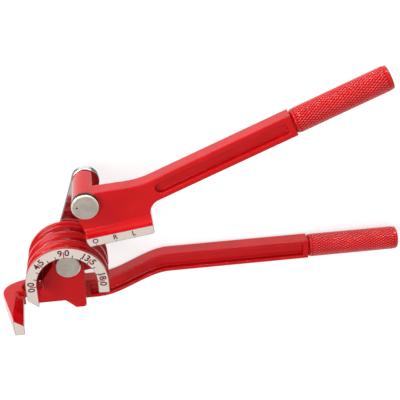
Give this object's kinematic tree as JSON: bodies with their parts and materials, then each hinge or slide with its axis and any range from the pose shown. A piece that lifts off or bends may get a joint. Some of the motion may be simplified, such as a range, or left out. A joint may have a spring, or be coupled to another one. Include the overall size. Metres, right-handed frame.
{
  "type": "tube bender",
  "caption": "Hand lever tube bender with a grooved forming wheel, a swinging tube hook, and a forming shoe on a second handle carried by a pivot link.",
  "frame": {"origin": "bend centre: on the bend axis, at the front face of the forming wheel", "axes": "+X along the lower handle from the wheel to the grip, +Z along the bend axis out of the wheel's scale face, tool lying on its back"},
  "size_m": [0.2508, 0.1505, 0.0603],
  "materials": {
    "lower_casting": "glossy red enamel on a zinc casting",
    "upper_casting": "glossy red enamel on a zinc casting",
    "hook_casting": "glossy red enamel on a zinc casting",
    "grip": "red enamel over a diamond knurl",
    "link": "bright plated steel strap",
    "pin": "plated steel with a dull flat head",
    "washer": "zinc plated steel",
    "ring": "black spring steel"
  },
  "bodies": {
    "lower": {"lower_handle": "lower_casting", "lower_grip": "grip", "wheel_pin": "pin", "wheel_pin_washer": "washer", "wheel_pin_ring": "ring"},
    "link": {"pivot_link": "link", "shoe_pin": "pin", "shoe_pin_washer": "washer", "shoe_pin_ring": "ring"},
    "upper": {"upper_handle": "upper_casting", "upper_grip": "grip"},
    "hook": {"tube_hook": "hook_casting"}
  },
  "joints": [
    {"name": "link_swing", "type": "hinge", "parent": "lower", "child": "link", "pos_m": [0, 0, 0], "axis": [0, 0, 1], "range_deg": [-72.7, 107.3]},
    {"name": "handle_swing", "type": "hinge", "parent": "link", "child": "upper", "pos_m": [0.0151, 0.04861, 0], "axis": [0, 0, 1], "range_deg": [-34, 120]},
    {"name": "hook_swing", "type": "hinge", "parent": "lower", "child": "hook", "pos_m": [0, 0, 0], "axis": [0, 0, 1], "range_deg": [-2, 14]}
  ]
}
